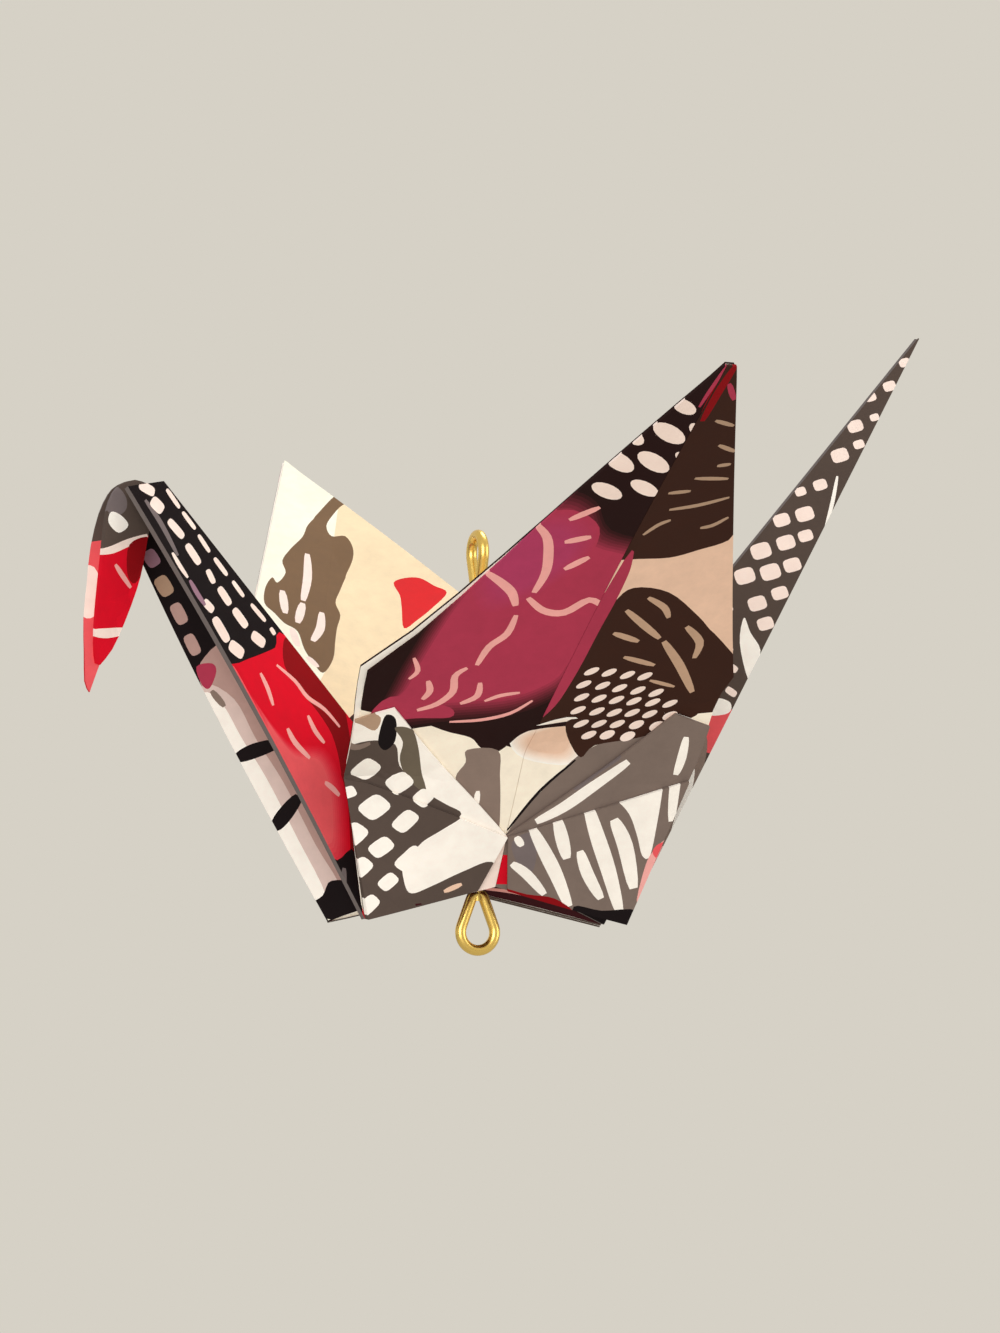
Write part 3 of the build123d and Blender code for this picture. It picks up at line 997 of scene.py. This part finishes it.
HEAD_END = {"under": [HEAD_WING_GROUND] + FRONT + NEAR_WING_HEAD,
            "pleat": HEAD_PANEL + [HEAD_SLIT_STRIP], "flap": HEAD_PANEL}
TAIL_END = {"under": [TAIL_WING_GROUND] + FRONT + NEAR_WING_TAIL,
            "pleat": TAIL_PLEAT + [TAIL_SLIT_STRIP], "flap": TAIL_FLAP}
PANEL_ART = {
    (-1, -1): HEAD_END, (-1, 1): TAIL_END,
    (1, -1): {layer: turned(art) for layer, art in TAIL_END.items()},
    (1, 1): {layer: turned(art) for layer, art in HEAD_END.items()},
}
PANEL_GROUND = {(-1, -1): "pale", (-1, 1): "clay", (1, -1): "clay", (1, 1): "pale"}
WING_TOP = {1: FAR_TOP, -1: turned(FAR_TOP)}
BODY_ART = {
    "back": ("maroon", [area("rose", (2, 1), (7, 0), (12, 3), (9, 8), (3, 6)),
                        stroke("pink", 0.5, (3, 2), (6, 4), (7, 7)),
                        stroke("pink", 0.5, (8, 2), (9, 4), (8, 6))]),
    "wall": ("charcoal", DOTS),
    "under": ("wine", [stroke("pink", 0.4, (1, 0.6), (4, 1.2), (8, 0.9))]),
}
LEG_ART = {-1: (NECK_OUTSIDE, NECK_INSIDE), 1: (TAIL_OUTSIDE, DOTS)}

# The folded sheet
LAYER = 1.3 * SHEET
UPPER_WING_LAYER = -1.2 * SHEET
LEG_THICK = 0.36
HEAD_THICK = 0.3
FACET_LIFT = 0.03
FACET_STEP = 2.0
BACK_INSIDE = 0.15
UNDER_FOOT, UPPER_FOOT = 0.3, 0.5
LEG_BLUNT = ((0, 0.4), (0.08, 0.4))
# The wing's edge: its points, how its hollow is spread, where the under layer's step back
# ends and how far that layer then shows beyond the upper one, and the way inward
EDGE_POINTS, EDGE_BELOW_TIP = 9, 0.3
HOLLOW_SHIFT, HOLLOW_FALL = 0.6, 1.2
STEP_ENDS, UNDER_SHOWS = 0.45, 0.08
INWARD = (0.92, 0.38)


def flip(loop, end):
    """The loop drawn for the tail end, turned over for the head end."""
    return [(x * end, y) for x, y in loop]


def wing_edge(side, end, under):
    """The wing's edge from root to tip, a little hollow; the under layer stands back at the root."""
    line = []
    for i in range(EDGE_POINTS):
        t = i / (EDGE_POINTS - 1)
        hollow = EDGE_HOLLOW[side, end] * math.sin(math.pi * t ** HOLLOW_SHIFT) ** HOLLOW_FALL
        step_back = LAYER_STEP[side, end] * max(0, 1 - t / STEP_ENDS) - UNDER_SHOWS
        inward = hollow + under * step_back
        line.append((ROOT[0] * (1 - t) + TIP_HALF[side, end] * t - INWARD[0] * inward,
                     ROOT_UP + (HALF - EDGE_BELOW_TIP - ROOT_UP) * t - INWARD[1] * inward))
    return line


def add_panel(sheet, side, end):
    """Half a wing's under layer with the body below it, and the pleat and flap that lie on it."""
    place, art, ground = panel_place(side), PANEL_ART[side, end], PANEL_GROUND[side, end]
    half_wing = [(SLIT, UNDER_FOOT), CORNER] + wing_edge(side, end, 1) + [(SLIT, HALF - TIP_CUT)]
    pleat = [(SLIT, 0), CORNER, RIDGE, PLEAT_EDGE, PLEAT, (SLIT, FLAP_RISE)]
    flap = [(FLAP_OPEN[end], FLAP_FOOT), CORNER, RIDGE, (SLIT, FLAP_RISE)]
    sheet.field(flip(half_wing, end), place, "cream", "pale", art["under"], out=-side)
    sheet.field(flip(pleat, end), place, ground, "pale", art["pleat"], lift=LAYER, out=-side)
    sheet.field(flip(flap, end), place, ground, "pale", art["flap"], lift=2 * LAYER, out=-side)


def add_upper_wing(sheet, side):
    """The wing's upper layer, in one piece from edge to edge, seen from above."""
    outline = ([(0, UPPER_FOOT), (-CORNER[0], -CORNER_DROP)] + flip(wing_edge(side, -1, 0), -1)
               + [(0, HALF - TIP_CUT)] + wing_edge(side, 1, 0)[::-1] + [CORNER])
    sheet.field(outline, panel_place(side), "pale", "ivory", (), WING_TOP[side],
                lift=UPPER_WING_LAYER, out=-side, rim="bark" if side < 0 else None)


def add_back(sheet, side, end):
    """The back, the end wall in two facets, and the underside, between panel, spine and top."""
    place = panel_place(side)
    corner, ridge = place(end * CORNER[0], -CORNER_DROP), place(end * RIDGE[0], RIDGE_UP)
    foot, top, slit = spine_foot(end, side), at(0, 0, BACK_TOP), on_panel(0, 0, side)
    low = on_panel(0, BACK_FOOT, side) - Vector((0, side * BACK_INSIDE, 0))
    within_body = at(0, side * 5, 6)
    facets = (("back", [top, low, ridge]), ("wall", [top, ridge, foot]),
              ("wall", [ridge, corner, foot]), ("under", [slit, corner, foot]))
    for kind, (a, b, c) in facets:
        along = (b - a).normalized()
        normal = (b - a).cross(c - a).normalized()
        flat = [(0, 0), ((b - a).length, 0),
                ((c - a).dot(along), (c - a).dot(normal.cross(along)))]
        outward = 1 if normal.dot((a + b + c) / 3 - within_body) > 0 else -1
        ground, art = BODY_ART[kind]
        sheet.field(flat, affine(flat, [a, b, c]), ground, "pale", art, out=outward,
                    lift=FACET_LIFT, step=FACET_STEP)


def add_leg(sheet, side, end):
    """One half of the tail, or of the neck up to its crown."""
    outline = [CROWN_BACK, LEG[1], LEG[2], CROWN_FRONT]
    if end > 0:
        outline = [LEG_BLUNT[0], LEG[1], LEG[2], LEG_BLUNT[1]]
    outside, inner = LEG_ART[end]
    # On the neck's inside the soot ground is dark print, and also painted shade deep in the neck's
    # fold
    sheet.field(outline, leg_place(end, side), "soot" if end < 0 else "moss", "soot",
                outside, inner, thick=LEG_THICK, out=side * end, rim="grey_edge")


def add_head(sheet, side):
    outline = curve(HEAD_FOLD, False, 2) + curve(HEAD_OPEN[side], False, 2)
    sheet.field(outline, head_place(side), "red", "coral", HEAD_OUTSIDE, HEAD_INSIDE,
                thick=HEAD_THICK, out=-side)


sheet = Sheet()
for side in (-1, 1):
    for end in (-1, 1):
        add_panel(sheet, side, end)
    add_upper_wing(sheet, side)
    for end in (-1, 1):
        add_back(sheet, side, end)
        add_leg(sheet, side, end)
    add_head(sheet, side)

paper = sheet.finish("folded_sheet", printed_paper())
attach(paper, "root")
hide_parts("folded_paper")

# The wire pin: from the centre of one eye to the centre of the other, each eye a round end
# and a narrow throat where the wire closes on itself
WIRE = 0.7
PIN_LENGTH = 24.2
EYE_RADIUS, EYE_THROAT, EYE_REACH = 1.15, 0.45, 2.0
ROUND_END_POINTS, THROAT_POINTS = 33, 13
WIRE_STEP = 0.12
WIRE_SIDES = 20


def eye_line(height, toward, sideways):
    """The closed line of an eye: a round end, a narrow throat and the straights between."""
    lean = math.degrees(math.acos((EYE_RADIUS - EYE_THROAT) / EYE_REACH))
    centre = Vector((0, 0, height))

    def arc(middle, radius, first, last, count):
        turns = [math.radians(first + (last - first) * i / (count - 1)) for i in range(count)]
        return [middle + (toward * math.cos(t) + sideways * math.sin(t)) * radius for t in turns]

    return (arc(centre, EYE_RADIUS, lean, 360 - lean, ROUND_END_POINTS)
            + arc(centre + toward * EYE_REACH, EYE_THROAT, -lean, lean, THROAT_POINTS))


def wire_tree(material):
    """Geometry nodes that draw a round wire along each line of a route."""
    tree = bpy.data.node_groups.new("wire along a route", "GeometryNodeTree")
    tree.is_modifier = True
    tree.interface.new_socket("Route", in_out="INPUT", socket_type="NodeSocketGeometry")
    for name in ("Wire thickness", "Step"):
        tree.interface.new_socket(name, in_out="INPUT", socket_type="NodeSocketFloat")
    tree.interface.new_socket("Wire", in_out="OUTPUT", socket_type="NodeSocketGeometry")
    given = node(tree, "NodeGroupInput").outputs
    half = node(tree, "ShaderNodeMath", given["Wire thickness"], 0.5, operation="MULTIPLY")
    ring = node(tree, "GeometryNodeCurvePrimitiveCircle", Resolution=WIRE_SIDES, Radius=half)
    route = node(tree, "GeometryNodeResampleCurve", mode="LENGTH", Curve=given["Route"],
                 Length=given["Step"])
    drawn = node(tree, "GeometryNodeCurveToMesh", Curve=route, Profile_Curve=ring, Fill_Caps=True)
    real = node(tree, "GeometryNodeRealizeInstances", drawn)
    gilt = node(tree, "GeometryNodeSetMaterial", Geometry=real, Material=material)
    node(tree, "NodeGroupOutput", gilt)
    return tree


def pin_route(name):
    """The straight pin and its two eyes, the lower eye turned square to the upper one."""
    down, across_wings, along_body = Vector((0, 0, -1)), Vector((0, 1, 0)), Vector((1, 0, 0))
    route = bpy.data.curves.new(name, "CURVE")
    route.dimensions = "3D"
    lines = [(eye_line(0, down, across_wings), True),
             (eye_line(-PIN_LENGTH, -down, along_body), True),
             ([down * EYE_REACH, down * (PIN_LENGTH - EYE_REACH)], False)]
    for points, closed in lines:
        line = route.splines.new("POLY")
        line.points.add(len(points) - 1)
        line.use_cyclic_u = closed
        for knot, point in zip(line.points, points):
            knot.co = (*(point * MM), 1)
    drawn = bpy.data.objects.new(name, route)
    bpy.context.collection.objects.link(drawn)
    return drawn


def wire_pin(name, material):
    """The pin as a plain mesh; the route and its modifier are gone once it is drawn."""
    drawn = pin_route(name + "_route")
    change = drawn.modifiers.new("wire", "NODES")
    change.node_group = wire_tree(material)
    sockets = change.node_group.interface.items_tree
    change[sockets["Wire thickness"].identifier] = WIRE * MM
    change[sockets["Step"].identifier] = WIRE_STEP * MM
    view = bpy.context.evaluated_depsgraph_get()
    mesh = bpy.data.meshes.new_from_object(drawn.evaluated_get(view))
    bpy.data.objects.remove(drawn)
    mesh.shade_smooth()
    pin = bpy.data.objects.new(name, mesh)
    bpy.context.collection.objects.link(pin)
    return pin


pin = wire_pin("wire_pin", gilt_wire())
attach(pin, "root")
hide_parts("eye_pin")

# Ground and light, in metres
FLOOR_SIZE, FLOOR_BELOW = 2.4, 0.16
bpy.ops.mesh.primitive_plane_add(size=FLOOR_SIZE, location=(0, 0, -FLOOR_BELOW))
floor = bpy.context.object
floor.name = "floor"
floor.data.materials.append(pale_ground())


def studio_world():
    """Pale blue fill light; the camera, gloss and glass see the plain backdrop instead."""
    world = bpy.data.worlds.new("studio")
    world.use_nodes = True
    tree = world.node_tree
    tree.nodes.clear()
    ray = node(tree, "ShaderNodeLightPath").outputs
    plain = node(tree, "ShaderNodeBackground", Color=linear(BACKDROP), Strength=1.0)
    fill = node(tree, "ShaderNodeBackground", Color=linear("e8edf2"), Strength=0.55)
    mirrored = node(tree, "ShaderNodeMath", ray["Is Glossy Ray"], ray["Is Transmission Ray"],
                    operation="MAXIMUM")
    looked = node(tree, "ShaderNodeMath", ray["Is Camera Ray"], mirrored, operation="MAXIMUM")
    node(tree, "ShaderNodeOutputWorld", node(tree, "ShaderNodeMixShader", looked, fill, plain))
    return world


LIGHT_AIM = (0, 0, -0.01)


def soft_light(name, place, size, power):
    """A square lamp turned to the crane's body; places and size are metres, power is watts."""
    light = bpy.data.lights.new(name, "AREA")
    light.size = size
    light.energy = power
    lamp = bpy.data.objects.new(name, light)
    lamp.location = place
    lamp.rotation_euler = (Vector(LIGHT_AIM) - Vector(place)).to_track_quat("-Z", "Y").to_euler()
    bpy.context.collection.objects.link(lamp)


bpy.context.scene.world = studio_world()
soft_light("key", (0.3, 0.15, 0.75), 0.5, 3.4)
soft_light("front", (-0.5, -0.7, 0.15), 0.6, 4.1)
soft_light("side", (0.7, -0.4, 0.1), 0.5, 1.5)

# Camera
SENSOR_HEIGHT = 24
eye = SLIT_FOOT + RIGHT * EYE_ACROSS + UP * EYE_UP - AHEAD * VIEW_DISTANCE
aim = SLIT_FOOT + RIGHT * AIM_ACROSS + UP * AIM_UP
lens = bpy.data.cameras.new("camera")
lens.sensor_fit = "VERTICAL"
lens.sensor_height = SENSOR_HEIGHT
lens.lens = SENSOR_HEIGHT * VIEW_DISTANCE / VIEW_HEIGHT
lens.clip_start = 0.01
camera = bpy.data.objects.new("camera", lens)
camera.location = eye * MM
camera.rotation_euler = (aim - eye).to_track_quat("-Z", "Y").to_euler()
bpy.context.collection.objects.link(camera)
scene = bpy.context.scene
scene.camera = camera
scene.view_settings.view_transform = "Standard"
